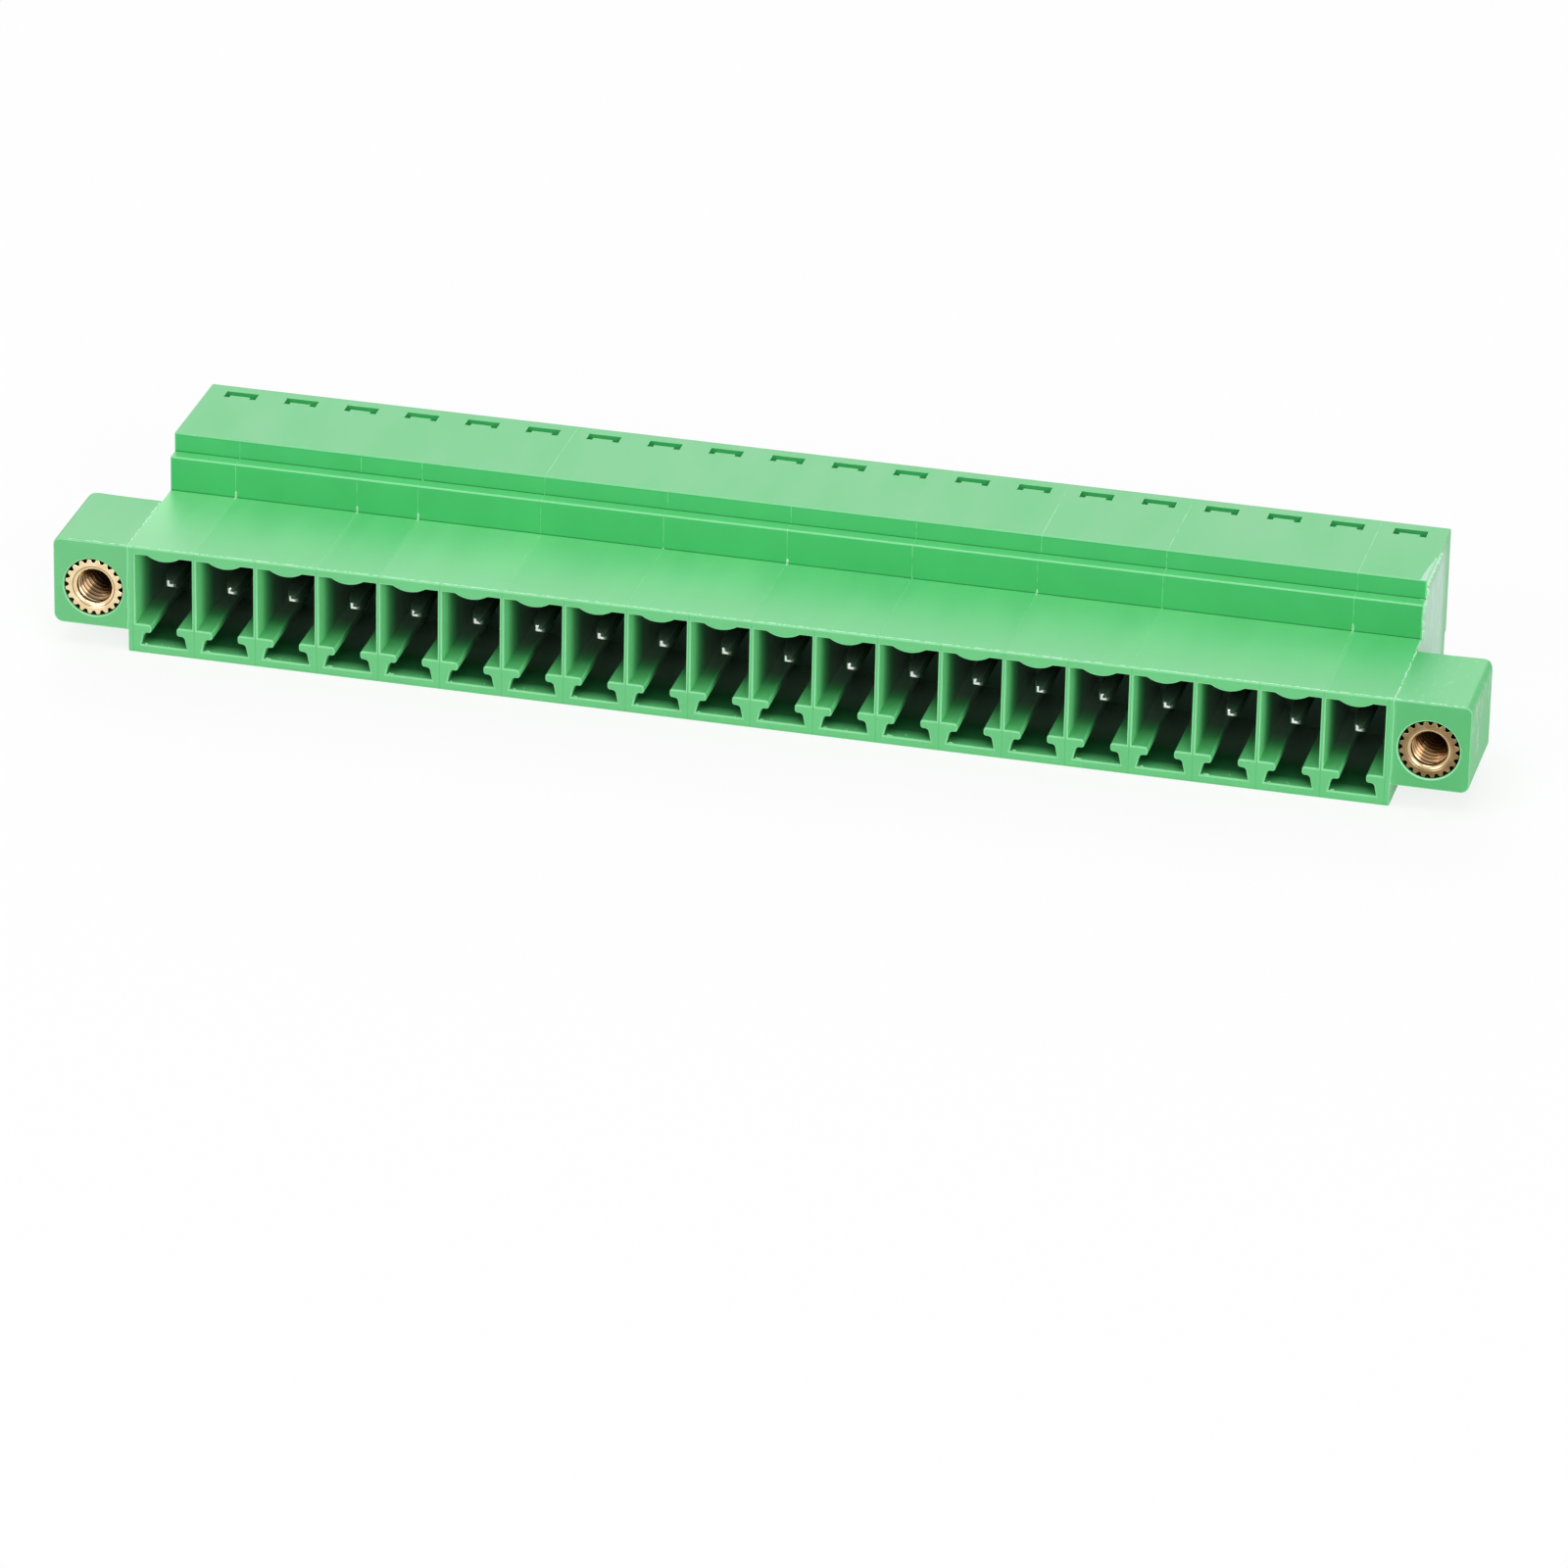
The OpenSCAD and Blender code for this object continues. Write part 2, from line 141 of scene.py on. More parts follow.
WHITE = rgb(1, 1, 1)
GREEN = rgb(0.063, 0.52, 0.15)
# Painted sheen towards the mating face, and the shroud top's own paler segments
SHEEN_AND_SEGMENT_GREEN = rgb(0.15, 0.59, 0.225)
PALE_GREEN = rgb(0.36, 0.86, 0.46)
LINE_GREEN = rgb(0.01, 0.25, 0.05)
# Painted shade in the steps' corners
CORNER_SHADE_GREEN = rgb(0.01, 0.13, 0.03)
# Painted shade in the insert holes
HOLE_SHADE_GREEN = rgb(0.01, 0.03, 0.012)
# Painted light and shade in the cavities, from the lit walls near the mouth to the dark back wall
LIT_WALL_GREEN = rgb(0.24, 0.95, 0.36)
SHADED_GREEN = rgb(0.012, 0.10, 0.03)
DEEP_SHADE_GREEN = rgb(0.30, 0.42, 0.33)
DEEP_WALL_SHADE_GREEN = rgb(0.19, 0.27, 0.21)
BACK_WALL_SHADE_GREEN = rgb(0.12, 0.21, 0.15)
WHITENED = rgb(0.62, 0.83, 0.71)


class Graph:
    """Builds a node graph; a value is a number, a colour or another node's output."""

    def __init__(self, tree):
        self.tree = tree

    def add(self, kind, *sockets, **settings):
        """Adds a node; each socket is a pair of an input and its value."""
        node = self.tree.nodes.new("ShaderNode" + kind)
        for key, value in settings.items():
            setattr(node, key, value)
        for key, value in sockets:
            self.feed(node.inputs[key], value)
        return node

    def feed(self, socket, value):
        """Sets an input, or links another node's output to it."""
        if isinstance(value, bpy.types.NodeSocket):
            self.tree.links.new(value, socket)
        else:
            socket.default_value = value

    def place(self):
        """Object coordinates in millimetres."""
        point = self.add("TexCoord").outputs["Object"]
        return self.add("VectorMath", (0, point), ("Scale", 1 / MM), operation="SCALE").outputs["Vector"]

    def split(self, vector):
        """The three parts of a vector."""
        return self.add("SeparateXYZ", (0, vector)).outputs

    def stretch(self, vector, x, y, z):
        """The vector with its parts multiplied."""
        return self.add("VectorMath", (0, vector), (1, (x, y, z)), operation="MULTIPLY").outputs["Vector"]

    def noise(self, vector, scale, detail=3.0, roughness=0.5):
        """Noise with about one feature per 1 / scale millimetres."""
        sockets = ("Vector", vector), ("Scale", scale), ("Detail", detail), ("Roughness", roughness)
        return self.add("TexNoise", *sockets).outputs["Fac"]

    def math(self, operation, a, b=0.0):
        """One operation on one or two values."""
        return self.add("Math", (0, a), (1, b), operation=operation).outputs["Value"]

    def plus(self, a, b):
        """The sum of two values."""
        return self.math("ADD", a, b)

    def minus(self, a, b):
        """The first value less the second."""
        return self.math("SUBTRACT", a, b)

    def times(self, first, *others):
        """The product of several values."""
        total = first
        for other in others:
            total = self.math("MULTIPLY", total, other)
        return total

    def off(self, value, centre):
        """How far a value is from a centre."""
        return self.math("ABSOLUTE", self.minus(value, centre))

    def remap(self, value, low, high, start=0.0, end=1.0):
        """The value mapped from low..high to start..end and kept there."""
        spans = ("From Min", low), ("From Max", high), ("To Min", start), ("To Max", end)
        return self.add("MapRange", ("Value", value), *spans).outputs["Result"]

    def fade(self, mask, start, end):
        """The start where a mask is 0, the end where it is 1, and between them in proportion."""
        return self.remap(mask, 0.0, 1.0, start, end)

    def vary(self, noise, start, end):
        """Noise, most of which lies between 0.3 and 0.7, spread from start to end."""
        return self.remap(noise, 0.3, 0.7, start, end)

    def clouds(self, noise):
        """Noise as patches with soft edges."""
        return self.remap(noise, 0.35, 0.65)

    def blend(self, factor, a, b, mode="MIX"):
        """Two colours mixed by a factor."""
        node = self.add("Mix", data_type="RGBA", blend_type=mode)
        for socket, value in zip((node.inputs["Factor"], node.inputs[6], node.inputs[7]), (factor, a, b)):
            self.feed(socket, value)
        return node.outputs[2]

    def grey(self, value):
        """A grey of that value."""
        return self.add("CombineColor", (0, value), (1, value), (2, value)).outputs[0]

    def steps(self, value, edges, levels):
        """A value that jumps from one level to the next at each edge, between 0 and 1."""
        ramp = self.add("ValToRGB", (0, value))
        stops = ramp.color_ramp
        stops.interpolation = "CONSTANT"
        while len(stops.elements) < len(levels):
            stops.elements.new(1.0)
        for stop, edge, level in zip(stops.elements, (0.0, *edges), levels):
            stop.position = edge
            stop.color = rgb(level, level, level)
        return ramp.outputs["Color"]

    def bump(self, height, distance, strength, below=None):
        """A bump of that many millimetres, on top of another one if given."""
        sockets = [("Height", height), ("Distance", distance * MM), ("Strength", strength)]
        if below:
            sockets.append(("Normal", below))
        return self.add("Bump", *sockets).outputs["Normal"]

    def pitches(self, x):
        """X in pole pitches, counted from far beyond the left-hand end, so that it is never negative."""
        return self.plus(self.math("DIVIDE", x, PITCH), 2.0 * POLES)

    def insert_reach_squared(self, x, z):
        """Square of the distance from the axis of the nearer insert."""
        across = self.minus(self.math("ABSOLUTE", x), abs(INSERT.x))
        above = self.minus(z, INSERT.z)
        return self.plus(self.math("POWER", across, 2.0), self.math("POWER", above, 2.0))


class Finish(Graph):
    """The graph of one material, round a Principled shader."""

    def __init__(self, name, **shader_values):
        self.material = bpy.data.materials.new(name)
        self.material.use_nodes = True
        super().__init__(self.material.node_tree)
        self.shader = self.tree.nodes["Principled BSDF"]
        for socket, value in shader_values.items():
            self.drive(socket.replace("_", " "), value)

    def drive(self, socket, value):
        """Feeds one of the shader's inputs."""
        self.feed(self.shader.inputs[socket], value)

    def work(self, grain, scale, smooth, rough):
        """Fine marks of working along a grain, and the roughness that they leave."""
        marks = self.noise(grain, scale)
        self.drive("Normal", self.bump(marks, 0.004, 0.5))
        return self.vary(marks, smooth, rough)


class Moulding(Finish):
    """The finish of the green moulding, with masks for the parts of its surface."""

    def __init__(self, name):
        super().__init__(name, IOR=1.5)
        self.spot = self.place()
        self.x, y, self.z = self.split(self.spot)
        self.depth = self.minus(y, FACE_Y)
        self.aside = self.math("ABSOLUTE", self.x)
        self.facing = self.split(self.add("NewGeometry").outputs["True Normal"])
        self.upward = self.remap(self.facing[2], 0.5, 0.8)
        self.flow = self.noise(self.stretch(self.spot, 1.0, 0.25, 0.6), 0.35, 4.0)
        self.at_face = self.remap(self.depth, 0.15, 0.1)
        self.on_row = self.remap(self.aside, ROW_X + 0.1, ROW_X)
        self.on_flange = self.minus(1.0, self.on_row)
        self.between_ends = self.remap(self.aside, ROW_X - 0.1, ROW_X - 0.2)
        self.on_roof = self.remap(self.z, ROOF_Z - 0.2, ROOF_Z - 0.1)
        self.shroud_top = self.times(
            self.upward, self.on_row, self.remap(self.z, SHROUD_H - 0.2, SHROUD_H - 0.1),
            self.remap(self.z, SHROUD_H + 0.3, SHROUD_H + 0.2))
        self.ledge_top = self.times(
            self.upward, self.remap(self.depth, SHROUD_D, SHROUD_D + 0.05),
            self.remap(self.depth, STEP_D, STEP_D - 0.05), self.remap(self.z, LEDGE_Z - 0.2, LEDGE_Z - 0.1))
        self.at_end = self.times(
            self.rightward(), self.remap(self.x, ROW_X - 0.08, ROW_X - 0.03),
            self.remap(self.depth, FLANGE_D + 0.2, FLANGE_D + 0.6))
        self.cut = self.noise(self.stretch(self.spot, 1.0, 1.6, 0.35), 1.6, 5.0, 0.65)
        self.insert_reach = self.insert_reach_squared(self.x, self.z)

    def rightward(self, start=0.0, end=1.0):
        """The end value on faces that look to the right, and the start value elsewhere."""
        return self.remap(self.facing[0], 0.4, 0.8, start, end)

    def tone(self):
        """Painted light and shade on each part of the surface, with faint clouds of flow marks, which are
        the moulding's own.
        """
        to_right = self.remap(self.x, 5.0, ROW_X)
        left_flange_top = self.times(self.upward, self.on_flange, self.remap(self.x, 1.0, -1.0))
        behind = self.times(
            to_right, self.remap(self.depth, SHROUD_D - 0.1, SHROUD_D), self.fade(self.upward, 1.0, 0.0))
        bottom_edge = self.times(self.at_face, self.on_row, self.remap(self.z, 0.18, 0.1))
        # Painted light and shade: each part made lighter or darker as the lamps fall on it
        tones = (
            (self.on_roof, 0.87), (self.ledge_top, 1.15), (left_flange_top, 0.86), (self.at_face, 0.94),
            (self.times(self.at_face, self.on_flange), 0.92), (behind, 0.93),
            (self.times(self.shroud_top, to_right), 0.97), (bottom_edge, 0.85),
            (self.shroud_top, self.remap(self.depth, 1.5, 7.0, 0.98, 1.16)),
            (self.remap(self.x, ROW_X, ROW_X + 0.3), 0.95),
        )
        return self.times(self.vary(self.flow, 0.97, 1.03), *(self.fade(part, 1.0, t) for part, t in tones))

    def sheen_and_segments(self):
        """Painted sheen, paler towards the mating face, less so to the right and on the flanges' tops, and
        on the ledge's top; on the shroud's top the moulding's own tone, paler by segments, instead.
        """
        row = self.remap(self.x, -ROW_X, ROW_X)
        edges = [boundary_x(n) / (2 * ROW_X) + 0.5 for n in MOULD_LINES]
        cloud = self.vary(self.flow, -0.12, 0.12)
        segment = self.plus(self.steps(row, edges, SEGMENT_PALENESS), cloud)
        front = self.times(
            self.remap(self.plus(self.depth, self.times(cloud, 8.0)), 8.0, 1.0, 0.3, 0.95),
            self.fade(row, 1.0, 0.8), self.remap(self.x, ROW_X, ROW_X + 0.5, 1.0, 0.6),
            self.fade(self.times(self.upward, self.on_flange), 1.0, 0.5))
        before_step = self.remap(self.depth, SHROUD_D - 0.05, SHROUD_D - 0.1)
        front = self.times(self.fade(self.shroud_top, front, segment), before_step)
        return self.math("MAXIMUM", front, self.times(self.ledge_top, 0.4))

    def cut_paleness(self):
        """Whitened cut on the right-hand end, and a sliver of it on the roof's edge."""
        whitened = self.times(
            self.at_end, self.remap(self.z, ROOF_Z - 0.1, ROOF_Z - 1.4, 0.35, 0.9),
            self.remap(self.depth, WINDOW_D[1] - 0.4, WINDOW_D[0] - 0.4, 0.3, 1.0),
            self.remap(self.cut, 0.25, 0.6, 0.65, 1.0))
        ragged = self.vary(self.noise(self.spot, 1.3), -0.08, 0.08)
        chip = self.plus(self.remap(self.depth, STEP_D + 0.2, STEP_D + 5.0, 0.42, -0.05), ragged)
        reach = self.minus(self.x, self.minus(ROW_X, chip))
        sliver = self.times(
            self.upward, self.remap(reach, 0.0, 0.03), self.remap(self.depth, STEP_D - 0.2, STEP_D - 0.1))
        return self.math("MAXIMUM", whitened, self.times(sliver, 0.6))

    def face_lines(self, colour):
        """Lines down the mating face: faint and dark between poles, pale where the flanges join."""
        turn = self.math("PINGPONG", self.pitches(self.x), 0.5)
        between = self.times(self.remap(turn, 0.010, 0.004), self.at_face, self.between_ends)
        colour = self.blend(self.times(between, 0.25), colour, LINE_GREEN)
        wander = self.plus(self.aside, self.vary(self.noise(self.spot, 0.8), -0.05, 0.05))
        join = self.times(self.remap(self.off(wander, ROW_X + 0.02), 0.05, 0.02), self.at_face)
        return self.blend(self.times(join, 0.45), colour, PALE_GREEN)

    def roof_lines(self, colour):
        """Faint, patchy lines over the roof."""
        patchy = self.remap(self.noise(self.spot, 0.9), 0.35, 0.6)
        for count in ROOF_LINES:
            line = self.remap(self.off(self.x, boundary_x(count)), 0.05, 0.015, 0.0, 0.3)
            colour = self.blend(self.times(line, self.on_roof, patchy), colour, PALE_GREEN)
        return colour

    def insert_holes(self, colour):
        """Painted shade in the insert holes, and pale rims round them."""
        socket = self.times(
            self.remap(self.insert_reach, (HOLE_R + 0.05) ** 2, (HOLE_R + 0.02) ** 2),
            self.remap(self.depth, 0.03, 0.1), self.remap(self.depth, FLANGE_D - 0.2, FLANGE_D - 0.3))
        colour = self.blend(self.times(socket, 0.93), colour, HOLE_SHADE_GREEN)
        rim = self.remap(self.insert_reach, (HOLE_R + 0.09) ** 2, (HOLE_R + 0.06) ** 2)
        share = self.remap(self.x, -1.0, 1.0, 0.35, 0.7)
        return self.blend(self.times(rim, self.at_face, share), colour, PALE_GREEN)

    def scuffs(self, colour):
        """Scuffs on the right-hand flange."""
        scratch = self.noise(self.stretch(self.spot, 1.0, 0.5, 0.25), 2.4, 5.0, 0.7)
        scuff = self.times(
            self.remap(scratch, 0.56, 0.68), self.remap(self.x, ROW_X + 0.3, ROW_X + 0.6),
            self.rightward(0.1, 0.55), self.remap(self.depth, 0.05, 0.2))
        return self.blend(scuff, colour, WHITENED)

    def corner_shade(self, colour):
        """Painted shade in the corners of the steps."""
        for corner_depth, corner_z in ((SHROUD_D, SHROUD_H), (STEP_D, LEDGE_Z)):
            off = self.math("MAXIMUM", self.off(self.depth, corner_depth), self.off(self.z, corner_z))
            colour = self.blend(self.remap(off, 0.06, 0.02, 0.0, 0.7), colour, CORNER_SHADE_GREEN)
        return colour

    def cavities(self, colour):
        """Painted light and shade in the cavities: light on the right-facing walls near the mouth, shade
        that deepens going in, a dim grey-green far in, and the back wall darkest with less specular.
        """
        within = self.times(
            self.remap(self.z, 0.25, 0.4), self.remap(self.z, SHROUD_H - 0.15, SHROUD_H - 0.3),
            self.between_ends, self.remap(self.depth, SHROUD_D, SHROUD_D - 0.2),
            self.remap(self.depth, 0.1, 0.2))
        # Painted light on the right-facing walls near the mouth
        lit_wall = self.times(within, self.rightward(), self.remap(self.depth, 2.2, 0.8))
        colour = self.blend(lit_wall, colour, LIT_WALL_GREEN)
        # Painted shade that deepens going in, sooner on the slots' floors, and a dim grey-green far in
        on_floor = self.remap(self.z, SLOT_FLOOR_Z + 0.6, SLOT_FLOOR_Z + 0.4)
        steep = self.times(self.depth, self.fade(on_floor, 1.0, 2.2))
        gloom = self.plus(self.minus(steep, self.times(self.upward, 0.7)), self.times(on_floor, 1.7))
        shaded = self.times(within, self.remap(gloom, 1.2, 3.6, 0.0, 0.97))
        colour = self.blend(shaded, colour, SHADED_GREEN)
        on_wall = self.remap(self.math("ABSOLUTE", self.facing[0]), 0.4, 0.8)
        deep_shade = self.blend(on_wall, DEEP_SHADE_GREEN, DEEP_WALL_SHADE_GREEN)
        colour = self.blend(self.times(within, self.remap(self.depth, 2.8, 6.0)), colour, deep_shade)
        # The back wall painted darkest, with less specular
        forward = self.remap(self.facing[1], -0.5, -0.8)
        back_wall = self.times(within, forward, self.remap(self.depth, 3.0, 4.0))
        self.drive("Specular IOR Level", self.fade(back_wall, 0.5, 0.05))
        return self.blend(back_wall, colour, BACK_WALL_SHADE_GREEN)


def moulding(name, pale_share):
    """Satin green moulding with all its marks; a share of pale green paints a highlight on the rounded
    edges.
    """
    g = Moulding(name)
    colour = g.blend(g.sheen_and_segments(), GREEN, SHEEN_AND_SEGMENT_GREEN)
    colour = g.blend(1.0, colour, g.grey(g.tone()), "MULTIPLY")
    colour = g.blend(pale_share, colour, PALE_GREEN)
    cut_paleness = g.cut_paleness()
    colour = g.blend(cut_paleness, colour, WHITENED)
    for mark in (g.face_lines, g.roof_lines, g.insert_holes, g.scuffs, g.corner_shade, g.cavities):
        colour = mark(colour)
    g.drive("Base Color", colour)
    g.drive("Roughness", g.plus(g.vary(g.flow, 0.38, 0.46), g.times(cut_paleness, 0.2)))
    grain = g.bump(g.noise(g.spot, 14.0, 2.0), 0.004, 0.6)
    g.drive("Normal", g.bump(g.times(g.cut, g.at_end), 0.06, 0.8, grain))
    return g.material


def whitened_plastic():
    """Flash and burrs, stressed white."""
    g = Finish("whitened_plastic", Roughness=0.5, IOR=1.5)
    fleck = g.noise(g.place(), 5.0)
    g.drive("Base Color", g.blend(g.clouds(fleck), PALE_GREEN, WHITENED))
    return g.material


def brass():
    """Turned brass: bright on the front, painted shade that browns and darkens it going into the bore,
    painted dark lines at the mouth's edge and in the groove behind it, and the right-hand insert painted
    duller, as if it reflected less light.
    """
    g = Finish("brass", Metallic=1.0)
    place = g.place()
    x, y, z = g.split(place)
    depth = g.minus(y, FACE_Y)
    reach = g.math("POWER", g.insert_reach_squared(x, z), 0.5)
    on_right = g.remap(x, -1.0, 1.0)
    cloud = g.clouds(g.noise(place, 1.4, 4.0))
    bright = g.blend(cloud, rgb(0.86, 0.64, 0.36), rgb(0.95, 0.78, 0.50))
    # Painted: the right-hand insert's face duller, as if it reflected less light
    right_insert_shade = g.blend(cloud, rgb(0.22, 0.145, 0.06), rgb(0.33, 0.225, 0.105))
    face = g.blend(g.times(on_right, g.remap(reach, MOUTH_R, MOUTH_R + 0.1, 0.45, 1.0)), bright, right_insert_shade)
    # Painted shade going into the bore, browner and then near black, its tone differing between the two
    # inserts
    inside = g.blend(on_right, rgb(0.20, 0.11, 0.055), rgb(0.46, 0.25, 0.115))
    depth_shaded = g.blend(g.remap(depth, 0.3, 1.1, 0.0, 0.85), face, inside)
    depth_shaded = g.blend(g.remap(depth, 1.2, 3.0, 0.0, 0.6), depth_shaded, rgb(0.05, 0.025, 0.01))
    # Painted shade: a dark line at the edge of the mouth and in the groove behind it
    ring = g.times(g.remap(g.off(reach, MOUTH_R), 0.06, 0.02), g.remap(depth, 0.25, 0.15))
    depth_shaded = g.blend(g.times(ring, 0.6), depth_shaded, rgb(0.16, 0.08, 0.03))
    groove_shade = g.times(g.remap(reach, 1.08, 1.2), g.remap(reach, 1.5, 1.4), g.remap(depth, 0.42, 0.5))
    g.drive("Base Color", g.blend(g.times(groove_shade, 0.9), depth_shaded, rgb(0.05, 0.024, 0.008)))
    g.drive("Roughness", g.work(g.stretch(place, 1.0, 6.0, 1.0), 6.0, 0.12, 0.24))
    return g.material


def plate(name, dark, light, grain, grain_scale):
    """Plated metal: clouded tone, uneven polish and fine working marks."""
    g = Finish(name, Metallic=1.0)
    place = g.place()
    g.drive("Base Color", g.blend(g.clouds(g.noise(place, 1.2, 4.0)), dark, light))
    g.drive("Roughness", g.work(g.stretch(place, *grain), grain_scale, 0.225, 0.39))
    return g.material


def tin_plate():
    """Bright tin plate, with a painted highlight along the lower and left edges of the pins' ends, and
    painted shade, dark and dull, from there back.
    """
    g = Finish("tin_plate")
    place = g.place()
    x, y, z = g.split(place)
    bright = g.blend(g.clouds(g.noise(place, 1.2, 4.0)), rgb(0.70, 0.70, 0.70), rgb(0.86, 0.86, 0.85))
    ragged = g.vary(g.noise(place, 5.0), -0.05, 0.05)
    turn = g.math("FRACT", g.pitches(x))
    across = g.plus(g.times(g.minus(turn, 0.5), PITCH), ragged)
    above = g.plus(g.minus(z, PIN_Z), ragged)
    # Painted highlight along the lower and left edges of each pin's end
    foot = g.times(g.remap(above, -0.01, -0.06), g.remap(across, 0.08, 0.3, 1.0, 0.3))
    side = g.times(g.remap(across, -0.02, -0.06), g.remap(above, 0.2, 0.14))
    at_tip = g.remap(y, PIN_TIP_Y + 0.3, PIN_TIP_Y + 0.15)
    tip_highlight = g.times(g.math("MAXIMUM", foot, side), at_tip)
    # Painted shade behind the ends inside the cavities: dark, dull and not metal
    in_cavity = g.remap(y, FACE_Y + CAVITY_D + 0.4, FACE_Y + CAVITY_D)
    dark = g.times(g.fade(tip_highlight, 1.0, 0.0), in_cavity)
    along = g.remap(y, PIN_TIP_Y + 0.1, PIN_TIP_Y + 0.5)
    shade = g.blend(along, rgb(0.04, 0.07, 0.045), rgb(0.035, 0.05, 0.038))
    g.drive("Base Color", g.blend(dark, bright, shade))
    g.drive("Metallic", g.fade(dark, 1.0, 0.0))
    g.drive("Specular IOR Level", g.fade(dark, 0.5, 0.05))
    polish = g.work(g.stretch(place, 3.0, 0.4, 3.0), 5.0, 0.16, 0.28)
    g.drive("Roughness", g.plus(polish, g.times(dark, 0.3)))
    return g.material


GREEN_PLASTIC = moulding("green_plastic", 0.0)
# Rounded edges take this one, with a painted highlight of pale green; the mould lines use it too
EDGE_HIGHLIGHT_AND_LINE_PLASTIC = moulding("edge_highlight_and_line_plastic", 0.4)
WHITENED_PLASTIC = whitened_plastic()
BRASS = brass()
TIN = tin_plate()
NICKEL = plate("nickel_plate", rgb(0.55, 0.53, 0.49), rgb(0.66, 0.64, 0.60), (4.0, 0.6, 1.0), 4.0)
ZINC = plate("zinc_plate", rgb(0.60, 0.62, 0.65), rgb(0.72, 0.73, 0.75), (1.0, 1.0, 5.0), 5.0)


def add_piece(name, mesh, body, place=(0, 0, 0)):
    """Puts a mesh into the scene as a piece that moves with a CAD body."""
    piece = bpy.data.objects.new(name, mesh)
    piece.location = place
    bpy.context.scene.collection.objects.link(piece)
    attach(piece, body)
    return piece


def edge_share(node, spot):
    """Share of the full rounding for a node's edge at a spot in millimetres.

    The roof windows are crisp. The flanges' outer back corners are round already, and so are the bends of
    the contacts behind the pins.
    """
    depth = spot.y - FACE_Y
    if node == "pin_contacts":
        return 1.0 if depth < PIN_BEND_D else 0.0
    if node != "housing":
        return 1.0
    if abs(spot.x) > FLANGE_ROUND_X and FLANGE_ROUND_D[0] < depth < FLANGE_ROUND_D[1]:
        return 0.0
    in_window = WINDOW_D[0] < depth < WINDOW_D[1] and spot.z > ROOF_Z - 0.05
    return WINDOW_EDGE_SHARE if in_window else 1.0


def cut_through(form, point):
    """Cuts a form by the X plane through a point, with a seam that keeps the faces apart."""
    everything = form.verts[:] + form.edges[:] + form.faces[:]
    cut = bmesh.ops.bisect_plane(form, geom=everything, dist=ON_CUT * MM, plane_co=point, plane_no=ALONG_X)
    for part in cut["geom_cut"]:
        if isinstance(part, bmesh.types.BMEdge):
            part.seam = True


def mark_edges(form, node):
    """Marks a form's outer edges for rounding, and smooths what isn't sharp."""
    rounding = form.edges.layers.float.new("bevel_weight_edge")
    for edge in form.edges:
        angle = edge.calc_face_angle_signed(0.0)
        edge.smooth = abs(angle) < SHARP
        spot = (edge.verts[0].co + edge.verts[1].co) / 2 / MM
        edge[rounding] = edge_share(node, spot) if angle > SHARP else 0.0
    for face in form.faces:
        face.smooth = True


def skin_mesh(node, cuts, materials, origin=Vector((0, 0, 0))):
    """A CAD node's form in flat faces without holes, its outer edges marked for rounding.

    Each cut is an X plane through the middle of some holes, so that no face keeps a hole.
    """
    form = bmesh.new()
    form.from_mesh(nodes[node].data)
    bmesh.ops.translate(form, verts=form.verts, vec=-origin)
    bmesh.ops.remove_doubles(form, verts=form.verts, dist=WELD * MM)
    for x in cuts:
        cut_through(form, Vector((x * MM, 0, 0)) - origin)
    bmesh.ops.dissolve_limit(form, angle_limit=FLAT, verts=form.verts, edges=form.edges, delimit={"SEAM"})
    mark_edges(form, node)
    mesh = bpy.data.meshes.new(node + "_skin")
    form.to_mesh(mesh)
    form.free()
    for material in materials:
        mesh.materials.append(material)
    return mesh


def round_edges(piece, radius):
    """Rounds a skin's marked edges, which take the mesh's last material, and keeps its large faces flat."""
    edge = piece.modifiers.new("edge", "BEVEL")
    edge.width = radius * MM
    edge.segments = 2
    edge.limit_method = "WEIGHT"
    edge.use_clamp_overlap = False
    edge.material = len(piece.data.materials) - 1
    flat = piece.modifiers.new("flat", "WEIGHTED_NORMAL")
    flat.weight = 80
    flat.keep_sharp = True


def add_skin(node, body, slot, radius, cuts, *materials):
    """Covers a CAD node with its skin."""
    skin = add_piece(node + "_skin", skin_mesh(node, cuts, materials), body)
    round_edges(skin, radius)
    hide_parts(node)


def fixed_skins():
    """Covers the moulding, the contacts and the inserts."""
    pole_cuts = [boundary_x(n / 2) for n in range(2 * POLES + 1)]
    insert_cuts = [middle(node).x for node in insert_nodes]
    all_cuts = pole_cuts + insert_cuts
    add_skin("housing", BLOCK, "green_plastic", EDGE_R, all_cuts, GREEN_PLASTIC, EDGE_HIGHLIGHT_AND_LINE_PLASTIC)
    add_skin("pin_contacts", BLOCK, "tin_plate", PIN_EDGE_R, [], TIN)
    for node in insert_nodes:
        add_skin(node, BLOCK, "brass", INSERT_EDGE_R, insert_cuts, BRASS)


def clamp_cages():
    """Covers the clamp cages, which are all alike, with one shared skin."""
    first = cage_nodes[0]
    start = middle(first)
    mesh = skin_mesh(first, [start.x], [NICKEL], start * MM)
    for node in cage_nodes:
        skin = add_piece(node + "_skin", mesh, node, middle(node) * MM)
        round_edges(skin, CLAMP_EDGE_R)
        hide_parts(node)


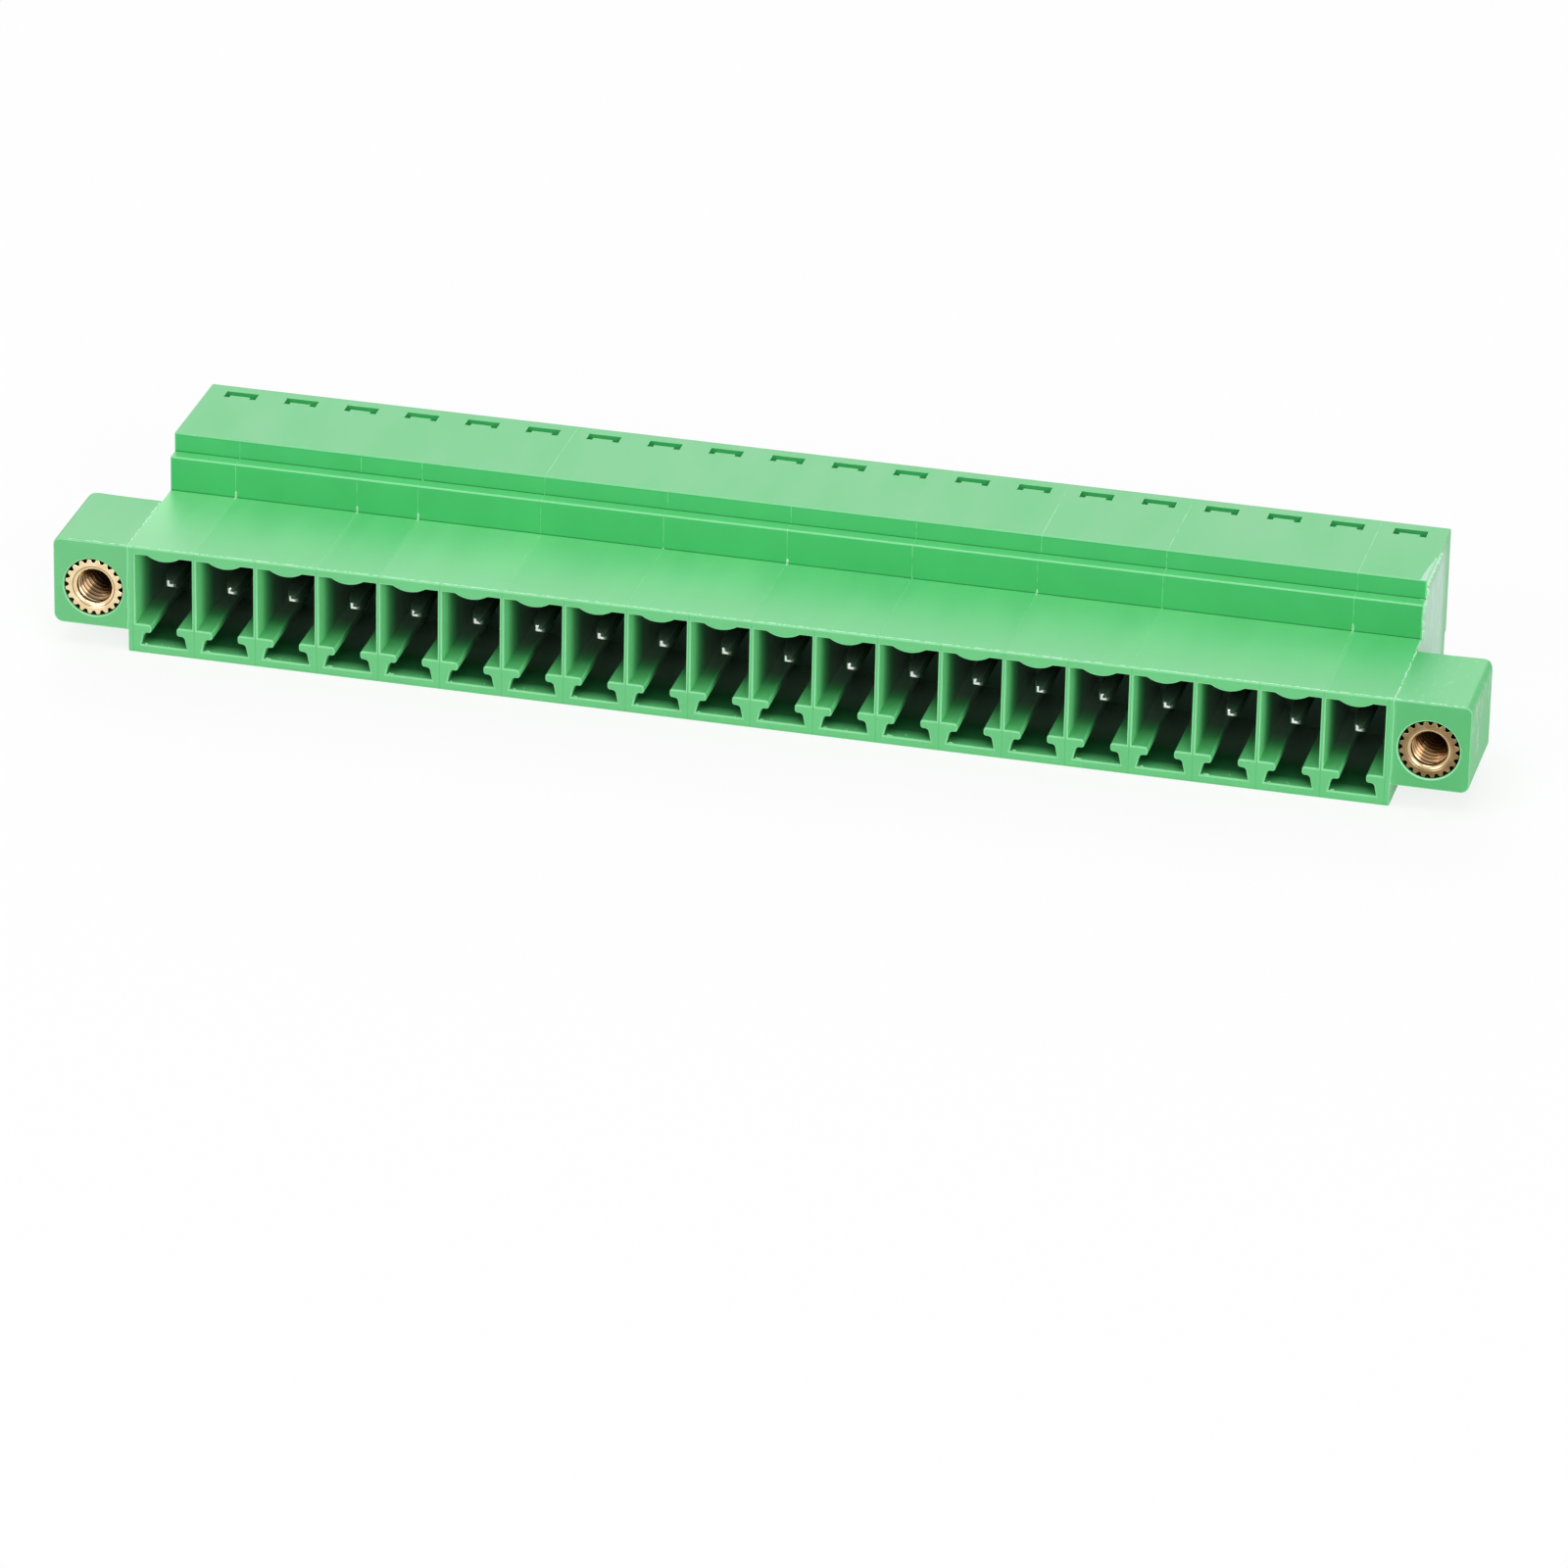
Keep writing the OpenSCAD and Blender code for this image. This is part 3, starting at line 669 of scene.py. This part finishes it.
class Shape:
    """Gathers the corners and faces of one piece, in millimetres."""

    def __init__(self):
        self.corners, self.faces = [], []

    def loft(self, rings, closed=False):
        """Skins a row of rings of equal size; a closed row joins up, and an open one gets two end faces."""
        start, size, count = len(self.corners), len(rings[0]), len(rings)
        for ring in rings:
            self.corners += ring
        for row in range(count if closed else count - 1):
            here = start + row * size
            there = start + (row + 1) % count * size
            for k in range(size):
                ahead = (k + 1) % size
                self.faces.append((here + k, here + ahead, there + ahead, there + k))
        if not closed:
            last = start + (count - 1) * size
            self.faces.append(tuple(range(start + size - 1, start - 1, -1)))
            self.faces.append(tuple(range(last, last + size)))

    def mesh(self, name, material):
        """The finished mesh in metres, with its faces turned outwards."""
        mesh = bpy.data.meshes.new(name)
        mesh.from_pydata([Vector(c) * MM for c in self.corners], [], self.faces)
        mesh.materials.append(material)
        shells = bmesh.new()
        shells.from_mesh(mesh)
        bmesh.ops.recalc_face_normals(shells, faces=shells.faces)
        shells.to_mesh(mesh)
        shells.free()
        return mesh

    def smooth_mesh(self, name, material):
        """The finished mesh with only its sharp edges showing."""
        mesh = self.mesh(name, material)
        mesh.shade_smooth()
        mesh.set_sharp_from_angle(angle=THREAD_SHARP)
        return mesh


def shake(reach):
    """A random step of up to that much either way."""
    return draw.uniform(-reach, reach)


def ridge_rings(path, width, height, gaps=0.0, sunk=0.03):
    """Rings of a jagged ridge along a path of (point, outward normal) pairs, with a share of gaps."""
    gap_share = 0.15
    rings = []
    last = len(path) - 1
    for k, (point, normal) in enumerate(path):
        ahead = path[min(k + 1, last)][0] - path[max(k - 1, 0)][0]
        across = ahead.cross(normal).normalized()
        fade = gap_share if k in (0, last) or draw.random() < gaps else 1.0
        half = across * width * fade * draw.uniform(0.35, 0.6)
        lean = across * width * shake(0.15)
        top = point + normal * height * fade * draw.uniform(0.45, 1.0) + lean
        rings.append([point - half, top, point + half, point - normal * sunk])
    return rings


def outline_path(x, corners, step):
    """Points at about equal steps along an outline of (depth, Z) corners, with the normals to its left."""
    path = []
    for (d0, z0), (d1, z1) in zip(corners, corners[1:]):
        run = Vector((0, d1 - d0, z1 - z0))
        count = max(1, round(run.length / step))
        normal = Vector((0, -run.z, run.y)).normalized()
        for k in range(count):
            point = Vector((x, FACE_Y + d0, z0)) + run * (k / count)
            path.append((point, normal))
    d, z = corners[-1]
    path.append((Vector((x, FACE_Y + d, z)), path[-1][1]))
    return path


def row_path(x0, x1, depth, z, step, jitter):
    """Points along X on an upward face, shaken to and fro."""
    count = round((x1 - x0) / step)
    spots = (x0 + (x1 - x0) * k / count for k in range(count + 1))
    return [(Vector((x, FACE_Y + depth + shake(jitter), z)), ALONG_Z) for x in spots]


# Height and breadth of each ring of a crumb, as shares of its size
SPECK_RINGS = (-0.4, 0.7), (0.2, 1.0), (0.7, 0.5)


def speck(shape, point, size):
    """A ragged crumb of plastic at a point."""
    rings = []
    for level, share in SPECK_RINGS:
        ring = []
        for k in range(6):
            a = k * math.pi / 3
            r = size * share * draw.uniform(0.5, 1.0)
            ring.append(point + Vector((r * math.cos(a), r * math.sin(a), size * level)))
        rings.append(ring)
    shape.loft(rings)


def mould_lines():
    """Raised lines where the halves of the mould's inserts met."""
    outline = (
        (0.12, SHROUD_H), (SHROUD_D, SHROUD_H), (SHROUD_D, LEDGE_Z - EDGE_R), (SHROUD_D + EDGE_R, LEDGE_Z),
        (STEP_D, LEDGE_Z), (STEP_D, ROOF_Z - EDGE_R), (STEP_D + EDGE_R * 0.3, ROOF_Z - EDGE_R * 0.3),
    )
    lines = Shape()
    for count in MOULD_LINES:
        path = outline_path(boundary_x(count) + shake(0.05), outline, step=0.3)
        lines.loft(ridge_rings(path, width=0.055, height=0.024, gaps=0.3))
    add_piece("mould_lines", lines.mesh("mould_lines", EDGE_HIGHLIGHT_AND_LINE_PLASTIC), BLOCK)


def end_burr(pale):
    """The burr of the trimmed right-hand end, which runs up the steps and along the roof."""
    inset, below_roof, roof_run = 0.03, 0.14, 4.5
    outline = (
        (SHROUD_D + inset, SHROUD_H), (SHROUD_D + inset, LEDGE_Z - inset),
        (STEP_D + inset, LEDGE_Z - inset), (STEP_D + inset, ROOF_Z - below_roof),
        (STEP_D + roof_run, ROOF_Z - below_roof),
    )
    path = [(point, ALONG_X) for point, _ in outline_path(ROW_X, outline, step=0.16)]
    pale.loft(ridge_rings(path, width=0.16, height=0.22, gaps=0.15))


def edge_flash(pale):
    """Flash where the flanges join the shroud's top, and along the top edge of the mating face."""
    for side in (-1, 1):
        join = outline_path(side * (ROW_X + 0.02), ((0.1, SHROUD_H), (FLANGE_D - 0.05, SHROUD_H)), step=0.2)
        path = [(point + ALONG_X * shake(0.05), normal) for point, normal in join]
        pale.loft(ridge_rings(path, width=0.1, height=0.04, gaps=0.3))
    flash_end = ROW_X + FLANGE_FLASH_L
    for x0, x1 in ((-flash_end, -ROW_X), (-ROW_X, ROW_X), (ROW_X, flash_end)):
        path = row_path(x0, x1, EDGE_R + 0.01, SHROUD_H, step=0.15, jitter=0.035)
        pale.loft(ridge_rings(path, width=0.11, height=0.035, gaps=0.4))


def step_burrs(pale):
    """Burrs and crumbs where the mould lines cross the steps."""
    for count in MOULD_LINES:
        x = boundary_x(count)
        if draw.random() < 0.75:
            tall = draw.uniform(0.25, 0.5)
            outline = (SHROUD_D - 0.25, SHROUD_H), (SHROUD_D, SHROUD_H), (SHROUD_D, SHROUD_H + tall)
            pale.loft(ridge_rings(outline_path(x, outline, step=0.08), width=0.13, height=0.1))
        for depth, z in ((SHROUD_D, LEDGE_Z - 0.02), (STEP_D, LEDGE_Z), (SHROUD_D, SHROUD_H)):
            if draw.random() < 0.7:
                spot = Vector((x + shake(0.04), FACE_Y + depth, z))
                speck(pale, spot, draw.uniform(0.04, 0.075))


def front_crumbs(pale):
    """Crumbs along the top edge of the mating face."""
    for _ in range(40):
        x = shake(ROW_X - 0.5)
        speck(pale, Vector((x, FACE_Y + draw.uniform(0.1, 0.17), SHROUD_H)), draw.uniform(0.02, 0.045))


def cavity_crumbs(pale):
    """Flash at the mouths of the key slots, and crumbs on the dividers' fronts and the slots' floors."""
    divider_off = PITCH / 2 - 0.12
    for count in range(POLES):
        middle_x = boundary_x(count + 0.5)
        if draw.random() < 0.7:
            x = middle_x - SLOT_HALF_W + draw.uniform(0.08, 0.2)
            end = x + draw.uniform(0.15, 0.4)
            path = row_path(x, end, 0.16, SLOT_FLOOR_Z, step=0.05, jitter=0.04)
            pale.loft(ridge_rings(path, width=0.07, height=0.05))
        for _ in range(draw.randint(0, 3)):
            z = draw.uniform(2.2, SHROUD_H - 1.2)
            speck(pale, Vector((middle_x + divider_off, FACE_Y + 0.07, z)), draw.uniform(0.02, 0.04))
        for _ in range(draw.randint(0, 3)):
            x = middle_x + shake(1.0) * (SLOT_HALF_W - 0.15)
            spot = Vector((x, FACE_Y + draw.uniform(0.1, 0.5), SLOT_FLOOR_Z))
            speck(pale, spot, draw.uniform(0.025, 0.05))


def flash():
    """Pale burrs, flash and crumbs of the moulding; each kind draws from the random numbers in turn."""
    pale = Shape()
    for kind in (end_burr, edge_flash, step_burrs, front_crumbs, cavity_crumbs):
        kind(pale)
    add_piece("flash", pale.mesh("flash", WHITENED_PLASTIC), BLOCK)


# A thread's pitch, the radii of its root and crest, and half its width at both
Thread = namedtuple("Thread", "pitch root crest root_half crest_half")
INSERT_THREAD = Thread(pitch=0.45, root=1.27, crest=1.05, root_half=0.2, crest_half=0.035)
SCREW_THREAD = Thread(pitch=0.4, root=CORE_R - 0.02, crest=SHANK_R - 0.03, root_half=0.18, crest_half=0.03)

# How far an insert's thread starts behind its mouth, and how much shorter than the insert it is
INSERT_THREAD_START, INSERT_THREAD_SHORT = 0.3, 0.6
# How far a screw's thread starts above its head, and how much shorter than the shank it is
SCREW_THREAD_START, SCREW_THREAD_SHORT = 0.1, 0.35

# Radius and depth of each corner of the rounded mouth that leads into an insert's thread
MOUTH_PROFILE = (
    (1.33, 0.02), (1.22, 0.05), (1.12, 0.12), (1.06, 0.22), (1.06, 0.36), (1.27, 0.46), (1.29, 0.08),
)


def helix_rings(thread, length, start, axis, turn_of):
    """Rings of a right-handed thread of that length, which fades in and out at its ends."""
    per_turn = 36
    fade_steps = per_turn * 0.6
    count = int(length / thread.pitch * per_turn)
    rings = []
    for k in range(count + 1):
        out = turn_of(2 * math.pi * k / per_turn)
        point = start + axis * (thread.pitch * k / per_turn)
        fade = min(1.0, k / fade_steps, (count - k) / fade_steps)
        top = thread.root + (thread.crest - thread.root) * max(fade, 0.02)
        foot, crest = point + out * thread.root, point + out * top
        rings.append([
            foot - axis * thread.root_half, crest - axis * thread.crest_half,
            crest + axis * thread.crest_half, foot + axis * thread.root_half,
        ])
    return rings


def round_y(angle):
    """Outward direction at an angle round an insert's axis."""
    return Vector((math.sin(angle), 0, math.cos(angle)))


def round_z(angle):
    """Outward direction at an angle round a screw's axis."""
    return Vector((math.cos(angle), math.sin(angle), 0))


def insert_threads():
    """The M2.5 thread inside each brass insert, and the rounded mouth that leads into it."""
    mouth_steps = 72
    around = [round_y(k * math.tau / mouth_steps) for k in range(mouth_steps)]
    for node in insert_nodes:
        low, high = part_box(node)
        side = node.removeprefix("thread_insert_")
        mouth = Vector((middle(node).x, low.y / MM, middle(node).z))
        length = (high.y - low.y) / MM - INSERT_THREAD_SHORT
        thread = Shape()
        rings = [[mouth + out * r + ALONG_Y * d for r, d in MOUTH_PROFILE] for out in around]
        thread.loft(rings, closed=True)
        start = mouth + ALONG_Y * INSERT_THREAD_START
        thread.loft(helix_rings(INSERT_THREAD, length, start, ALONG_Y, round_y))
        add_piece("insert_thread_" + side, thread.smooth_mesh("thread_" + side, BRASS), BLOCK)


def screw_mesh(node, head_top):
    """A clamp screw with its axis at X = Y = 0, its shank turned down to the core of the thread."""
    axis_at = middle(node)
    mesh = skin_mesh(node, [axis_at.x], [ZINC], Vector((axis_at.x, axis_at.y, 0)) * MM)
    for vertex in mesh.vertices:
        spot = vertex.co / MM
        if spot.z > head_top - 0.01 and math.hypot(spot.x, spot.y) < SHANK_R + 0.01:
            spot.x *= CORE_R / SHANK_R
            spot.y *= CORE_R / SHANK_R
        vertex.co = spot * MM
    return mesh


def clamp_screws():
    """Clamp screws with a cut thread, in place of the plain CAD ones."""
    low, high = (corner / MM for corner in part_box(screw_nodes[0]))
    head_top = low.z + HEAD_H
    mesh = screw_mesh(screw_nodes[0], head_top)
    thread = Shape()
    length = high.z - head_top - SCREW_THREAD_SHORT
    start = ALONG_Z * (head_top + SCREW_THREAD_START)
    thread.loft(helix_rings(SCREW_THREAD, length, start, ALONG_Z, round_z))
    thread_mesh = thread.smooth_mesh("clamp_thread", ZINC)
    for node in screw_nodes:
        place = Vector((middle(node).x, middle(node).y, 0)) * MM
        screw = add_piece("cut_" + node, mesh, node, place)
        round_edges(screw, CLAMP_EDGE_R)
        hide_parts(node)
        add_piece(node.replace("screw", "thread"), thread_mesh, node, place)


# The photograph's viewpoint, in millimetres and degrees
CAMERA_AT = Vector((122.09, -509.03, 242.78))
CAMERA_AZIMUTH, CAMERA_ELEVATION, CAMERA_ROLL = 13.48, 25.57, 1.19
LENS = 221.15
SENSOR_W = 36.0
# What is nearer or farther than this many metres isn't seen
CLIP = 0.01, 20.0

# Each lamp's name, its place and width in metres, and its watts
SOFTBOXES = (
    ("back_box", (-0.27, 0.88, 0.55), 0.8, 3.4),
    ("top_box", (0.0, -0.25, 1.1), 0.7, 4.0),
    ("left_box", (-0.45, -0.8, 0.4), 0.5, 1.7),
    ("right_box", (0.55, -0.75, 0.35), 0.5, 2.5),
)
LAMP_TARGET = Vector((0, 0, 0.005))

WORLD_STRENGTH = 0.5

# Half the floor's width in metres, its own tone, and how far it shows as plain white
FLOOR_HALF_W = 2.5
FLOOR_GREY = rgb(0.92, 0.92, 0.92)
FLOOR_WHITE_SHARE = 0.82


def camera():
    """The photograph's viewpoint."""
    data = bpy.data.cameras.new("camera")
    data.sensor_width = SENSOR_W
    data.lens = LENS
    data.clip_start, data.clip_end = CLIP
    azimuth, elevation, roll = (math.radians(a) for a in (CAMERA_AZIMUTH, CAMERA_ELEVATION, CAMERA_ROLL))
    turn = Matrix.Rotation(azimuth, 4, "Z") @ Matrix.Rotation(math.pi / 2 - elevation, 4, "X")
    piece = bpy.data.objects.new("camera", data)
    piece.matrix_world = Matrix.Translation(CAMERA_AT * MM) @ turn @ Matrix.Rotation(roll, 4, "Z")
    bpy.context.scene.collection.objects.link(piece)
    bpy.context.scene.camera = piece


def white_to_eye(g, lit, white, share=1.0):
    """Mixes plain white into a shader for rays from the camera, reflections and clear material."""
    path = g.add("LightPath").outputs
    seen = path["Is Camera Ray"]
    for name in ("Is Glossy Ray", "Is Transmission Ray"):
        seen = g.add("Math", (0, seen), (1, path[name]), operation="ADD", use_clamp=True).outputs["Value"]
    shaders = (1, lit.outputs[0]), (2, white.outputs[0])
    return g.add("MixShader", (0, g.times(seen, share)), *shaders).outputs[0]


def world():
    """Soft light from all round, seen as white."""
    studio = bpy.data.worlds.new("studio")
    bpy.context.scene.world = studio
    studio.use_nodes = True
    g = Graph(studio.node_tree)
    lit = g.tree.nodes["Background"]
    g.feed(lit.inputs["Color"], WHITE)
    g.feed(lit.inputs["Strength"], WORLD_STRENGTH)
    white = g.add("Background", ("Color", WHITE), ("Strength", 1.0))
    g.feed(g.tree.nodes["World Output"].inputs["Surface"], white_to_eye(g, lit, white))


def floor():
    """Pale floor that shows white and keeps a soft shadow."""
    corners = [(x * FLOOR_HALF_W, y * FLOOR_HALF_W, 0) for x, y in ((-1, -1), (1, -1), (1, 1), (-1, 1))]
    mesh = bpy.data.meshes.new("floor")
    mesh.from_pydata(corners, [], [(0, 1, 2, 3)])
    piece = bpy.data.objects.new("floor", mesh)
    bpy.context.scene.collection.objects.link(piece)
    material = bpy.data.materials.new("floor")
    material.use_nodes = True
    g = Graph(material.node_tree)
    g.tree.nodes.remove(g.tree.nodes["Principled BSDF"])
    lit = g.add("BsdfDiffuse", ("Color", FLOOR_GREY))
    white = g.add("Emission", ("Strength", 1.0))
    shown = white_to_eye(g, lit, white, FLOOR_WHITE_SHARE)
    g.feed(g.tree.nodes["Material Output"].inputs["Surface"], shown)
    mesh.materials.append(material)


def softbox(name, place, size, watts):
    """A square lamp that faces the middle of the block."""
    data = bpy.data.lights.new(name, "AREA")
    data.shape = "SQUARE"
    data.size = size
    data.energy = watts
    piece = bpy.data.objects.new(name, data)
    piece.location = place
    piece.rotation_euler = (LAMP_TARGET - Vector(place)).to_track_quat("-Z", "Y").to_euler()
    bpy.context.scene.collection.objects.link(piece)


fixed_skins()
clamp_cages()
mould_lines()
flash()
insert_threads()
clamp_screws()

camera()
world()
floor()
for lamp in SOFTBOXES:
    softbox(*lamp)
bpy.context.scene.view_settings.view_transform = "Standard"
